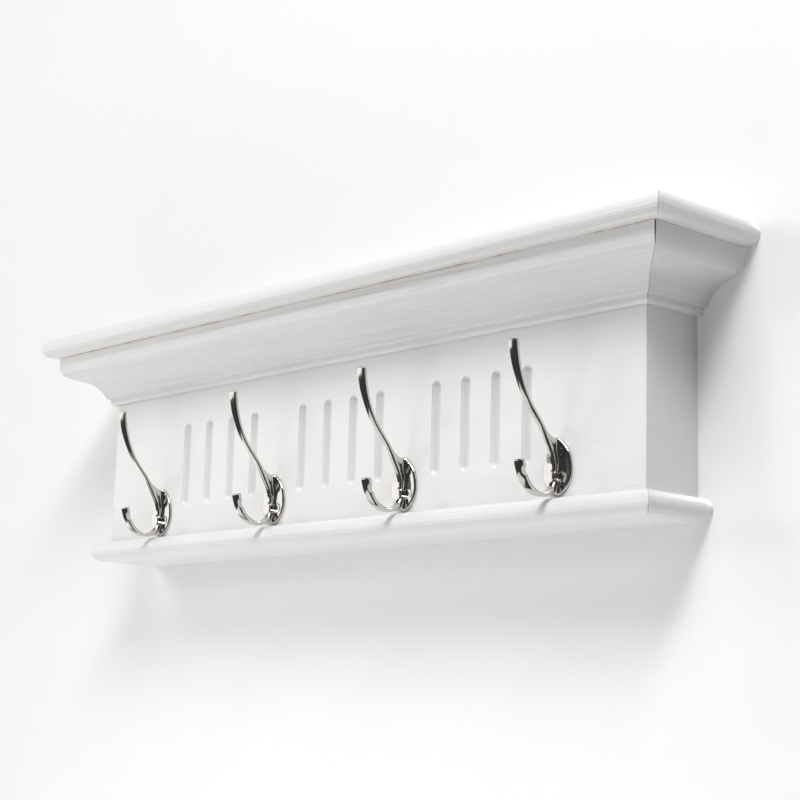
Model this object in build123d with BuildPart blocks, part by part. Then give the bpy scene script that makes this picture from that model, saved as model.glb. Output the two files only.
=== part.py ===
from build123d import *
import math
import os

# Wall hook rack: a shallow timber box with a crown-moulded shelf on top, a fluted
# front panel and four cast double hooks. Millimetres, +Z up, front towards -Y.
# The origin lies on the wall plane, midway between the two keyholes it hangs from.

# ---------------------------------------------------------------- driving sizes
BODY_WIDTH = 694.0        # outside width of the box, four equal bays
BODY_DEPTH = 61.5         # wall plane to the front panel's face
TOTAL_HEIGHT = 227.0
BOARD = 19.0              # three-quarter-inch stock, used for every board
SHELF_REACH = 59.4        # how far the shelf's nose stands out from the box
SILL_REACH = 14.2         # the same for the bottom board
KEYHOLE_HEIGHT = 170.0    # underside of the rack up to the keyholes' entry holes
STUD_SPACING = 406.4      # sixteen inches between the two keyholes

# Crown moulding, as reach from the box face and height above the rack's underside
CROWN_REACH = 45.2
CROWN_FASCIA = 10.5       # upright band above the ovolo
CROWN_BOTTOM = 160.0
CROWN_STRIP_REACH = 6.4
CROWN_STRIP_TOP = 166.4
STRIP_ROUND = 3.0
OVOLO_RADIUS = 11.0
OVOLO_TURN = 72.0         # degrees of arc
COVE_START = (22.0, 181.8)
COVE_MIDDLE = (14.8, 175.6)
COVE_END = (9.6, CROWN_STRIP_TOP)
CROWN_SEAT_TOP = 172.0    # top of the flat that bears on the box
CROWN_LEDGE = 33.0        # where the flat that bears on the shelf begins

# Flutes: three groups of four, cut with a round-nosed cutter
FLUTE_PITCH = 34.6
FLUTE_LENGTH = 79.4
FLUTE_CENTRE = 89.0       # height of the flutes' middle
CUTTER_RADIUS = 5.5
FLUTE_DEPTH = 4.2

# Cast double hook
PLATE_TOP = 23.3          # above the middle of its two screws
PLATE_BOTTOM = -22.2      # below it
PLATE_THICKNESS = 3.0
HOOK_HEIGHT = 43.2        # middle of the two screws above the rack's underside
SCREW_ACROSS = 6.8        # each screw from that middle, to the side
SCREW_RISE = 7.8          # and up or down

# ---------------------------------------------------------------- derived sizes
Z_BASE = -KEYHOLE_HEIGHT
Z_TOP = Z_BASE + TOTAL_HEIGHT
Z_SHELF = Z_TOP - BOARD            # underside of the shelf board
Z_SILL = Z_BASE + BOARD            # top of the bottom board
BOX_HEIGHT = Z_SHELF - Z_SILL
HALF_WIDTH = BODY_WIDTH / 2
INNER_HALF = HALF_WIDTH - BOARD    # inside face of each side return
PANEL_BACK = -BODY_DEPTH + BOARD
NOSE_RADIUS = BOARD / 2
BAY = BODY_WIDTH / 4
HOOK_X = [(index - 1.5) * BAY for index in range(4)]
FLUTE_GROUP_X = [-BAY, 0.0, BAY]

# Mitre planes through the box's two front corners, facing outwards
MITRE_RIGHT = Plane(origin=(HALF_WIDTH, -BODY_DEPTH, 0), z_dir=(1, 1, 0))
MITRE_LEFT = Plane(origin=(-HALF_WIDTH, -BODY_DEPTH, 0), z_dir=(-1, 1, 0))

# Section planes for mouldings: local X runs outwards from the box, local Y is up
FRONT_SECTION = Plane(origin=(0, -BODY_DEPTH, Z_BASE), x_dir=(0, -1, 0), z_dir=(-1, 0, 0))
RIGHT_SECTION = Plane(origin=(HALF_WIDTH, 0, Z_BASE), x_dir=(1, 0, 0), z_dir=(0, -1, 0))
LEFT_SECTION = Plane(origin=(-HALF_WIDTH, 0, Z_BASE), x_dir=(-1, 0, 0), z_dir=(0, 1, 0))

os.makedirs("parts", exist_ok=True)


def save(part, name):
    """Label one finished piece and write it as its own STEP file."""
    part.label = name
    export_step(part, f"parts/{name}.step")


# ---------------------------------------------------------------- sections
def half_round(flat_reach, bottom):
    """Half-round nosing section whose flat back stands at flat_reach."""
    with BuildSketch(mode=Mode.PRIVATE) as section:
        with BuildLine():
            low = (flat_reach, bottom)
            high = (flat_reach, bottom + BOARD)
            Line(low, high)
            ThreePointArc(high, (flat_reach + NOSE_RADIUS, bottom + NOSE_RADIUS), low)
        make_face()
    return section.sketch


def crown_section():
    """Crown moulding: an ovolo over a long slope, a cove and a rounded strip."""
    top = TOTAL_HEIGHT - BOARD
    turn = math.radians(OVOLO_TURN)
    ovolo_start = (CROWN_REACH, top - CROWN_FASCIA)
    ovolo_middle = (
        CROWN_REACH - OVOLO_RADIUS * (1 - math.cos(turn / 2)),
        top - CROWN_FASCIA - OVOLO_RADIUS * math.sin(turn / 2),
    )
    ovolo_end = (
        CROWN_REACH - OVOLO_RADIUS * (1 - math.cos(turn)),
        top - CROWN_FASCIA - OVOLO_RADIUS * math.sin(turn),
    )
    strip_top = (CROWN_STRIP_REACH, CROWN_STRIP_TOP)
    strip_bend = (CROWN_STRIP_REACH, CROWN_BOTTOM + STRIP_ROUND)
    strip_end = (CROWN_STRIP_REACH - STRIP_ROUND, CROWN_BOTTOM)
    with BuildSketch(mode=Mode.PRIVATE) as section:
        with BuildLine():
            Line((CROWN_REACH, top), ovolo_start)
            ThreePointArc(ovolo_start, ovolo_middle, ovolo_end)
            Line(ovolo_end, COVE_START)
            ThreePointArc(COVE_START, COVE_MIDDLE, COVE_END)
            Polyline(COVE_END, strip_top, strip_bend)
            RadiusArc(strip_bend, strip_end, STRIP_ROUND)
            # The back is flat where it meets the box and the shelf, and hollow between
            Polyline(
                strip_end,
                (0, CROWN_BOTTOM),
                (0, CROWN_SEAT_TOP),
                (CROWN_LEDGE, top),
                (CROWN_REACH, top),
            )
        make_face()
    return section.sketch


def run_mouldings(section, front_name, left_name, right_name):
    """Cut one section into a front run and two returns, mitred at the corners."""
    reach = SHELF_REACH + BOARD
    with BuildPart() as front_run:
        with BuildSketch(FRONT_SECTION):
            add(section)
        extrude(amount=HALF_WIDTH + reach, both=True)
        split(bisect_by=MITRE_RIGHT, keep=Keep.BOTTOM)
        split(bisect_by=MITRE_LEFT, keep=Keep.BOTTOM)
    save(front_run.part, front_name)
    with BuildPart() as right_run:
        with BuildSketch(RIGHT_SECTION):
            add(section)
        extrude(amount=BODY_DEPTH + reach)
        split(bisect_by=MITRE_RIGHT, keep=Keep.TOP)
    save(right_run.part, right_name)
    with BuildPart() as left_run:
        with BuildSketch(LEFT_SECTION):
            add(section)
        extrude(amount=-(BODY_DEPTH + reach))
        split(bisect_by=MITRE_LEFT, keep=Keep.TOP)
    save(left_run.part, left_name)


# ---------------------------------------------------------------- screws
HOOK_SCREW = {"radius": 1.9, "head_radius": 3.8, "head_depth": 2.1, "length": 20.0}
CLEAT_SCREW = {"radius": 2.0, "head_radius": 4.0, "head_depth": 2.2, "length": 30.0}
HANGER_SCREW = {"radius": 1.5, "head_radius": 2.9, "head_depth": 1.5, "length": 15.0}

# Cross recess: arm and slot as shares of the head's radius, depth as a share of its depth
RECESS_ARM = 0.55
RECESS_SLOT = 0.24
RECESS_DEPTH = 0.8
RECESS_TAPER = 8


def screw_blank(size):
    """The plain body of a countersunk screw along -Z, its head flush with Z = 0."""
    with BuildPart() as blank:
        with BuildSketch(Plane.XZ):
            with BuildLine():
                Polyline(
                    (0, 0),
                    (size["head_radius"], 0),
                    (size["radius"], -size["head_depth"]),
                    (size["radius"], 2 * size["radius"] - size["length"]),
                    (0, -size["length"]),
                    close=True,
                )
            make_face()
        revolve(axis=Axis.Z)
    return blank.part


def cross_screw(size):
    """The same screw with a tapered cross recess in its head."""
    recess_arm = size["head_radius"] * RECESS_ARM
    recess_slot = size["head_radius"] * RECESS_SLOT
    with BuildPart() as screw:
        add(screw_blank(size))
        with BuildSketch(Plane.XY):
            Rectangle(2 * recess_arm, recess_slot)
            Rectangle(recess_slot, 2 * recess_arm)
        extrude(amount=-size["head_depth"] * RECESS_DEPTH, taper=RECESS_TAPER, mode=Mode.SUBTRACT)
    return screw.part


def save_screws(size, places, name):
    """Save one node that holds a copy of the screw at each place."""
    with BuildPart() as screws:
        with Locations(places):
            add(cross_screw(size))
    save(screws.part, name)


# Faces that screws enter, each with its local Z pointing out of the wood
PLATE_FACE = Plane(origin=(0, -BODY_DEPTH - PLATE_THICKNESS, 0), x_dir=(1, 0, 0), z_dir=(0, -1, 0))
BACK_FACE = Plane(origin=(0, 0, 0), x_dir=(-1, 0, 0), z_dir=(0, 1, 0))
TOP_CLEAT_FACE = Plane(origin=(0, 0, Z_SHELF - BOARD), x_dir=(1, 0, 0), z_dir=(0, 0, -1))
BOTTOM_CLEAT_FACE = Plane(origin=(0, 0, Z_SILL + BOARD), x_dir=(1, 0, 0), z_dir=(0, 0, 1))

Z_HOOK = Z_BASE + HOOK_HEIGHT
HOOK_SCREW_PLACES = [
    PLATE_FACE.location * Pos(x + side * SCREW_ACROSS, Z_HOOK - side * SCREW_RISE)
    for x in HOOK_X
    for side in (-1, 1)
]
CLEAT_Y = PANEL_BACK + BOARD / 2
CLEAT_SCREW_X = [-290.0, -100.0, 100.0, 290.0]
TOP_CLEAT_PLACES = [TOP_CLEAT_FACE.location * Pos(x, -CLEAT_Y) for x in CLEAT_SCREW_X]
BOTTOM_CLEAT_PLACES = [BOTTOM_CLEAT_FACE.location * Pos(x, CLEAT_Y) for x in CLEAT_SCREW_X]


# ---------------------------------------------------------------- shelf and sill
def flat_board(reach, z_low, screw_places):
    """A board flush with the wall whose flat stands out from the box by reach."""
    with BuildPart() as board:
        with Locations((0, 0, z_low)):
            Box(
                BODY_WIDTH + 2 * reach,
                BODY_DEPTH + reach,
                BOARD,
                align=(Align.CENTER, Align.MAX, Align.MIN),
            )
        with Locations(screw_places):
            add(screw_blank(CLEAT_SCREW), mode=Mode.SUBTRACT)
    return board.part


shelf_flat = SHELF_REACH - NOSE_RADIUS
save(flat_board(shelf_flat, Z_SHELF, TOP_CLEAT_PLACES), "top_board")
run_mouldings(
    half_round(shelf_flat, TOTAL_HEIGHT - BOARD),
    "top_nosing_front",
    "top_nosing_left",
    "top_nosing_right",
)

sill_flat = SILL_REACH - NOSE_RADIUS
save(flat_board(sill_flat, Z_BASE, BOTTOM_CLEAT_PLACES), "bottom_board")
run_mouldings(
    half_round(sill_flat, 0.0),
    "bottom_nosing_front",
    "bottom_nosing_left",
    "bottom_nosing_right",
)

run_mouldings(crown_section(), "crown_front", "crown_left", "crown_right")

# ---------------------------------------------------------------- fluted front panel
flute_trace = math.sqrt(CUTTER_RADIUS**2 - (CUTTER_RADIUS - FLUTE_DEPTH) ** 2)
flute_travel = FLUTE_LENGTH - 2 * flute_trace
cutter_y = -BODY_DEPTH - (CUTTER_RADIUS - FLUTE_DEPTH)
FLUTE_PLACES = [
    (group_x + (index - 1.5) * FLUTE_PITCH, cutter_y, Z_BASE + FLUTE_CENTRE)
    for group_x in FLUTE_GROUP_X
    for index in range(4)
]

# The path swept by the round-nosed cutter: a cylinder with a ball at each end
with BuildPart() as flute_cut:
    Cylinder(CUTTER_RADIUS, flute_travel)
    with Locations((0, 0, flute_travel / 2), (0, 0, -flute_travel / 2)):
        Sphere(CUTTER_RADIUS)

with BuildPart() as front_panel:
    with Locations((0, -BODY_DEPTH, Z_SILL)):
        Box(BODY_WIDTH, BOARD, BOX_HEIGHT, align=(Align.CENTER, Align.MIN, Align.MIN))
    split(bisect_by=MITRE_RIGHT, keep=Keep.BOTTOM)
    split(bisect_by=MITRE_LEFT, keep=Keep.BOTTOM)
    with Locations(FLUTE_PLACES):
        add(flute_cut.part, mode=Mode.SUBTRACT)
    with Locations(HOOK_SCREW_PLACES):
        add(screw_blank(HOOK_SCREW), mode=Mode.SUBTRACT)
save(front_panel.part, "front_panel")

# ---------------------------------------------------------------- side returns
for side, mitre, name in (
    (-1, MITRE_LEFT, "side_return_left"),
    (1, MITRE_RIGHT, "side_return_right"),
):
    with BuildPart() as side_return:
        with Locations((side * (HALF_WIDTH - BOARD / 2), 0, Z_SILL)):
            Box(BOARD, BODY_DEPTH, BOX_HEIGHT, align=(Align.CENTER, Align.MAX, Align.MIN))
        split(bisect_by=mitre, keep=Keep.TOP)
    save(side_return.part, name)

# ---------------------------------------------------------------- keyhole hangers
HANGER_WIDTH = 16.0
HANGER_HEIGHT = 52.0
HANGER_THICKNESS = 2.0
HANGER_MIDDLE = 4.0               # plate's middle above the entry hole's centre
HANGER_CORNER = 3.0
ENTRY_RADIUS = 5.0
SLOT_RADIUS = 2.5
SLOT_RISE = 12.0                  # entry hole's centre up to the slot's end centre
POCKET_RADIUS = 6.5
POCKET_DEPTH = 10.0               # room for a screw head behind the plate
HANGER_SCREW_Z = (-16.5, 24.5)

for side, hand in ((-1, "left"), (1, "right")):
    hanger_plane = Plane(origin=(side * STUD_SPACING / 2, 0, 0), x_dir=(-1, 0, 0), z_dir=(0, 1, 0))
    screw_places = [hanger_plane.location * Pos(0, z) for z in HANGER_SCREW_Z]
    with BuildPart() as hanger_plate:
        with BuildSketch(hanger_plane):
            with Locations((0, HANGER_MIDDLE)):
                RectangleRounded(HANGER_WIDTH, HANGER_HEIGHT, HANGER_CORNER)
            Circle(ENTRY_RADIUS, mode=Mode.SUBTRACT)
            with Locations((0, SLOT_RISE / 2)):
                SlotCenterToCenter(SLOT_RISE, 2 * SLOT_RADIUS, rotation=90, mode=Mode.SUBTRACT)
        extrude(amount=-HANGER_THICKNESS)
        with Locations(screw_places):
            add(screw_blank(HANGER_SCREW), mode=Mode.SUBTRACT)
    save(hanger_plate.part, f"hanger_plate_{hand}")
    save_screws(HANGER_SCREW, screw_places, f"hanger_screws_{hand}")

# ---------------------------------------------------------------- rails at the back
HANGING_RAIL_HEIGHT = 68.0
LOWER_RAIL_HEIGHT = 38.0
hanger_spots = [(-STUD_SPACING / 2, 0), (STUD_SPACING / 2, 0)]

with BuildPart() as hanging_rail:
    with Locations((0, 0, Z_SHELF)):
        Box(2 * INNER_HALF, BOARD, HANGING_RAIL_HEIGHT, align=(Align.CENTER, Align.MAX, Align.MAX))
    with BuildSketch(BACK_FACE):
        with Locations(hanger_spots):
            with Locations((0, HANGER_MIDDLE)):
                RectangleRounded(HANGER_WIDTH, HANGER_HEIGHT, HANGER_CORNER)
    extrude(amount=-HANGER_THICKNESS, mode=Mode.SUBTRACT)
    with BuildSketch(BACK_FACE.offset(-HANGER_THICKNESS)):
        with Locations(hanger_spots):
            with Locations((0, SLOT_RISE / 2)):
                SlotCenterToCenter(SLOT_RISE, 2 * POCKET_RADIUS, rotation=90)
    extrude(amount=-POCKET_DEPTH, mode=Mode.SUBTRACT)
    with Locations([BACK_FACE.location * Pos(x, z) for x, _ in hanger_spots for z in HANGER_SCREW_Z]):
        add(screw_blank(HANGER_SCREW), mode=Mode.SUBTRACT)
save(hanging_rail.part, "hanging_rail")

with BuildPart() as lower_rail:
    with Locations((0, 0, Z_SILL)):
        Box(2 * INNER_HALF, BOARD, LOWER_RAIL_HEIGHT, align=(Align.CENTER, Align.MAX, Align.MIN))
save(lower_rail.part, "lower_rail")

# ---------------------------------------------------------------- cleats and blocks
for name, z_low, screw_places in (
    ("top_cleat", Z_SHELF - BOARD, TOP_CLEAT_PLACES),
    ("bottom_cleat", Z_SILL, BOTTOM_CLEAT_PLACES),
):
    with BuildPart() as cleat:
        with Locations((0, PANEL_BACK, z_low)):
            Box(2 * INNER_HALF, BOARD, BOARD, align=(Align.CENTER, Align.MIN, Align.MIN))
        with Locations(screw_places):
            add(screw_blank(CLEAT_SCREW), mode=Mode.SUBTRACT)
    save(cleat.part, name)
    save_screws(CLEAT_SCREW, screw_places, f"{name}_screws")

for side, hand in ((-1, "left"), (1, "right")):
    with BuildPart() as corner_block:
        with BuildSketch(Plane.XY.offset(Z_SILL + BOARD)):
            with BuildLine():
                Polyline(
                    (side * INNER_HALF, PANEL_BACK),
                    (side * (INNER_HALF - BOARD), PANEL_BACK),
                    (side * INNER_HALF, PANEL_BACK + BOARD),
                    close=True,
                )
            make_face()
        extrude(amount=BOX_HEIGHT - 2 * BOARD)
    save(corner_block.part, f"corner_block_{hand}")

# ---------------------------------------------------------------- cast double hook
# Drawn once about the middle of its screws, on the panel's face: X across, -Y out, Z up.
# Both arms start inside one rib on the plate. Routes are (out from the panel, height).
UPPER_ROUTE = [
    (5.2, -4), (5.6, 4), (11.4, 16), (22.6, 32.6), (36.4, 48), (45.6, 64), (51, 80), (53.2, 93.6),
]
LOWER_ROUTE = [
    (5.2, -4), (6.2, -13), (13, -21), (22.4, -23), (32.2, -19.8), (40.2, -11.6), (44.6, 1.6),
]
# Sections along each arm: fraction of its length, width, thickness
UPPER_SECTIONS = [
    (0, 5.6, 5), (0.2, 5.6, 4.4), (0.45, 5.4, 3.3), (0.7, 6.6, 3.4), (0.9, 8.8, 3.9), (1, 9, 3.9),
]
LOWER_SECTIONS = [
    (0, 5.6, 5), (0.2, 6.4, 3.8), (0.45, 7, 3.6), (0.7, 8, 4.2), (0.9, 9.4, 5), (1, 9.6, 5),
]
SECTION_ROUND = 0.42      # corner radius of each section as a share of its thickness
TIP_ROUND = 1.2
RIM_ROUND = 1.2
WEB_THICKNESS = 3.2

# Outline of the plate's right half, (across, height), between its top and bottom points
PLATE_SIDE = [(6.4, 19.4), (11.4, 12.8), (14.2, 4), (14.8, -3), (13.2, -11), (7.8, -18.4)]
# Web under the hat arm and heel under the coat hook, (out, height)
WEB_UNDER = [(22.4, 32.6), (17.4, 25.4), (12.4, 17.6), (8, 9), (2, 2), (2, 22.3)]
WEB_TOP = [(2, 22.3), (8.6, 23), (14.6, 26.8), (22.4, 32.6)]
HEEL = [(5.4, -8), (9.5, -17.5), (15, -21.4), (20, -23.2), (12, -22.9), (2, -20.9), (2, -8)]


def hook_arm(route, sections):
    """One arm swept from the rib to its flared, rounded tip."""
    with BuildPart() as arm:
        with BuildLine() as spine:
            Spline([(0, -out, up) for out, up in route])
        for fraction, width, thickness in sections:
            across = Plane(origin=spine.line @ fraction, x_dir=(1, 0, 0), z_dir=spine.line % fraction)
            with BuildSketch(across):
                RectangleRounded(width, thickness, thickness * SECTION_ROUND)
        sweep(multisection=True)
        tip = arm.faces().sort_by_distance(spine.line @ 1)[0]
        fillet(tip.edges(), TIP_ROUND)
    return arm.part


def double_hook():
    """Pointed oval plate, hat arm above, coat hook below, with a web and a heel."""
    left_side = [(-across, up) for across, up in reversed(PLATE_SIDE)]
    with BuildPart() as hook:
        with BuildSketch(Plane.XZ):
            with BuildLine():
                Spline([(0, PLATE_TOP), *PLATE_SIDE, (0, PLATE_BOTTOM), *left_side], periodic=True)
            make_face()
        extrude(amount=PLATE_THICKNESS)
        fillet(hook.faces().sort_by(Axis.Y)[0].edges(), RIM_ROUND)
        add(hook_arm(UPPER_ROUTE, UPPER_SECTIONS))
        add(hook_arm(LOWER_ROUTE, LOWER_SECTIONS))
        with BuildSketch(Plane.YZ):
            with BuildLine():
                Polyline([(-out, up) for out, up in WEB_UNDER])
                Spline([(-out, up) for out, up in WEB_TOP])
            make_face()
            with BuildLine():
                Polyline([(-out, up) for out, up in HEEL], close=True)
            make_face()
        extrude(amount=WEB_THICKNESS / 2, both=True)
        for side in (-1, 1):
            with Locations(Plane.XZ.offset(PLATE_THICKNESS)):
                with Locations((side * SCREW_ACROSS, -side * SCREW_RISE)):
                    add(screw_blank(HOOK_SCREW), mode=Mode.SUBTRACT)
    return hook.part


hook_shape = double_hook()
for number, hook_x in enumerate(HOOK_X, start=1):
    with BuildPart() as hook:
        with Locations((hook_x, -BODY_DEPTH, Z_HOOK)):
            add(hook_shape)
    save(hook.part, f"hook_{number}")
    pair = HOOK_SCREW_PLACES[2 * number - 2:2 * number]
    save_screws(HOOK_SCREW, pair[:1], f"hook_screw_{number}_upper")
    save_screws(HOOK_SCREW, pair[1:], f"hook_screw_{number}_lower")
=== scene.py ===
# %% [markdown]
# # A painted wall hook rack, dressed in Blender
# The rack is a shallow timber box under a crown-moulded shelf, with four cast double hooks.
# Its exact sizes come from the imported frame, in metres, so every piece below is placed from
# the boxes of the frame's own nodes. Timber that shows is built again with eased arrises,
# open mitres and beads of filler, which is what makes painted joinery look handmade.

import cmath
import math

import bmesh
import bpy
import numpy as np
from mathutils import Matrix, Vector


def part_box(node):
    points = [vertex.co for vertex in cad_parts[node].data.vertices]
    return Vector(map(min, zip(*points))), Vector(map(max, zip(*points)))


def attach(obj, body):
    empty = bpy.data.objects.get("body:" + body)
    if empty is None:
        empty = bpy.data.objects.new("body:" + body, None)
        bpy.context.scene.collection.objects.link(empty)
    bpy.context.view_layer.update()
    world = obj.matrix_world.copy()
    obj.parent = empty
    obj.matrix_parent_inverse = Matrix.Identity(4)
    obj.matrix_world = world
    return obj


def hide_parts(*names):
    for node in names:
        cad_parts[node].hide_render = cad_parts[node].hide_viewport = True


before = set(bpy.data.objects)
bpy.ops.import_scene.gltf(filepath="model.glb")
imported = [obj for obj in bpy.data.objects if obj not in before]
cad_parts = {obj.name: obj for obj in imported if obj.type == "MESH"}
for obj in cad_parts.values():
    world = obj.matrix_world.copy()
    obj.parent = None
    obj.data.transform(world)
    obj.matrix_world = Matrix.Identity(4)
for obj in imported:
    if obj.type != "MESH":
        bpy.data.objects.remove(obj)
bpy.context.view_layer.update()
MM = 0.001
print("frame nodes:", len(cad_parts))

# %% [markdown]
# ## Where the parts stand
# The front panel's box gives the face of the rack, and the boards give the heights. A section
# point is written as a reach out from the box and a height above the underside.

# %% Measure the box from the frame
panel_low, panel_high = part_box("front_panel")
board_low, board_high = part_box("bottom_board")
shelf_low, shelf_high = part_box("top_board")
HALF = panel_high.x
FACE = -panel_low.y
BASE = board_low.z
BOARD = board_high.z - board_low.z
SHELF_UNDER = shelf_low.z - BASE
TOP = shelf_high.z - BASE
SHELF_REACH = shelf_high.x - HALF
SILL_REACH = board_high.x - HALF
print("box half width, depth, height in mm:", [round(v / MM, 1) for v in (HALF, FACE, TOP)])


# %% [markdown]
# ## The viewpoint
# The rack is seen from its right-hand end, from a little below, with a long lens so that the
# mouldings stay nearly parallel. The camera's place and turn are plain numbers.

# %% Camera
VIEW_TURN = 47.2895          # degrees round from straight in front, towards the right end
VIEW_RISE = 10.3369          # degrees that the lens looks upwards
VIEW_ROLL = 1.6361
VIEW_PLACE = Vector((1.20072, -1.09861, -0.33153))
LENS = 82.03

turn, rise, roll = (math.radians(v) for v in (VIEW_TURN, VIEW_RISE, VIEW_ROLL))
sight = Vector((-math.sin(turn) * math.cos(rise), math.cos(turn) * math.cos(rise), math.sin(rise)))
level = sight.cross(Vector((0, 0, 1))).normalized()
upright = level.cross(sight)
camera_x = level * math.cos(roll) + upright * math.sin(roll)
camera_y = upright * math.cos(roll) - level * math.sin(roll)
camera = bpy.data.objects.new("viewpoint", bpy.data.cameras.new("viewpoint"))
bpy.context.scene.collection.objects.link(camera)
camera.matrix_world = Matrix((
    (camera_x.x, camera_y.x, -sight.x, VIEW_PLACE.x),
    (camera_x.y, camera_y.y, -sight.y, VIEW_PLACE.y),
    (camera_x.z, camera_y.z, -sight.z, VIEW_PLACE.z),
    (0, 0, 0, 1),
))
camera.data.lens = LENS
camera.data.sensor_width = 36.0
camera.data.clip_start = 0.01
bpy.context.scene.camera = camera
print("camera to rack in m:", round(VIEW_PLACE.length, 2))


# %% [markdown]
# ## Wiring finishes as sums
# A finish is a net of shader nodes. Wrapping each output socket in a small class lets the
# sums be written as Python: `0.5 + grain * 0.2` adds its own Math nodes.

# %% A socket that can be added and multiplied
class Wire:
    """An output socket of a finish, which adds Math nodes when it is used in a sum."""

    def __init__(self, finish, socket):
        self.finish = finish
        self.socket = socket

    def _sum(self, operation, *values):
        return self.finish.node("ShaderNodeMath", {"operation": operation}, dict(enumerate(values)))

    def __add__(self, other):
        return self._sum("ADD", self, other)

    def __radd__(self, other):
        return self._sum("ADD", other, self)

    def __sub__(self, other):
        return self._sum("SUBTRACT", self, other)

    def __rsub__(self, other):
        return self._sum("SUBTRACT", other, self)

    def __mul__(self, other):
        return self._sum("MULTIPLY", self, other)

    def __rmul__(self, other):
        return self._sum("MULTIPLY", other, self)


class Finish:
    """A procedural material and the one method that adds a node to it."""

    def __init__(self, name, **constants):
        self.material = bpy.data.materials.new(name)
        self.material.use_nodes = True
        self.tree = self.material.node_tree
        self.shader = next(n for n in self.tree.nodes if n.type == "BSDF_PRINCIPLED")
        for socket, value in constants.items():
            self.shader.inputs[socket.replace("_", " ")].default_value = value
        self.place = self.node("ShaderNodeTexCoord", {}, {}, "Object")

    def node(self, kind, settings, sockets, output=0):
        made = self.tree.nodes.new(kind)
        for name, value in settings.items():
            if name == "stops":
                self._stops(made.color_ramp, value)
            else:
                setattr(made, name, value)
        for key, value in sockets.items():
            if isinstance(value, Wire):
                self.tree.links.new(value.socket, made.inputs[key])
            else:
                made.inputs[key].default_value = value
        return Wire(self, made.outputs[output])

    def _stops(self, ramp, stops):
        while len(ramp.elements) < len(stops):
            ramp.elements.new(1.0)
        for element, (position, colour) in zip(ramp.elements, stops):
            element.position = position
            element.color = (*colour, 1.0)

    def noise(self, scale, detail=2.0, roughness=0.5, shift=0.0, distortion=0.0):
        """Noise whose grain may be stretched: scale is per metre along x, y and z."""
        place = self.node("ShaderNodeMapping", {}, {
            "Vector": self.place, "Location": (shift, shift * 0.7, shift * 1.3), "Scale": scale,
        })
        return self.node("ShaderNodeTexNoise", {}, {
            "Vector": place, "Scale": 1.0, "Detail": detail, "Roughness": roughness, "Distortion": distortion,
        })

    def ramp(self, value, low, high):
        """0 below low, 1 above high, smooth between."""
        return self.node("ShaderNodeMapRange", {"interpolation_type": "SMOOTHSTEP"}, {
            "Value": value, "From Min": low, "From Max": high,
        })

    def mix(self, mask, first, second):
        return self.node("ShaderNodeMix", {"data_type": "RGBA"}, {0: mask, 6: first, 7: second}, 2)

    def paint(self, socket, value):
        self.tree.links.new(value.socket, self.shader.inputs[socket])

    def relief(self, height, distance):
        """Raise the surface by up to the distance, in metres, where the height is 1."""
        self.paint("Normal", self.node("ShaderNodeBump", {}, {"Height": height, "Distance": distance}))


print("finishes are ready to wire")


# %% [markdown]
# ## Hand-painted timber
# White satin paint brushed over pine. Three things show: the softwood figure beneath, as
# long arches with the grain; the combed streaks that the brush left; and a few specks of dust.
# The figure is the contour lines of one smooth noise stretched along the board. Inside the flutes
# the paint is greyed a little as painted shade, by a mask on depth, without a second piece.

# %% Painted wood
PALE_PAINT = (0.842, 0.837, 0.832)
THIN_PAINT = (0.818, 0.814, 0.810)
BRUSHED_PAINT = (0.745, 0.740, 0.735)
FIGURE_PAINT = (0.64, 0.63, 0.615)
# Painted shade for the inside of the flutes.
PAINTED_FLUTE_SHADE = (0.70, 0.695, 0.69)
DUST = (0.42, 0.41, 0.38)
FLUTE_SHADE_STARTS, FLUTE_SHADE_ENDS = 1.2 * MM, 4.0 * MM


def stretched(grain, along, across):
    """Noise scales per metre, small along the grain and large across it."""
    return tuple(along if axis == grain else across for axis in "XYZ")


def tinted(colour, depth=1.0):
    """The colour made darker by a depth below 1, with the alpha that a socket needs."""
    return (*(c * depth for c in colour), 1.0)


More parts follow.
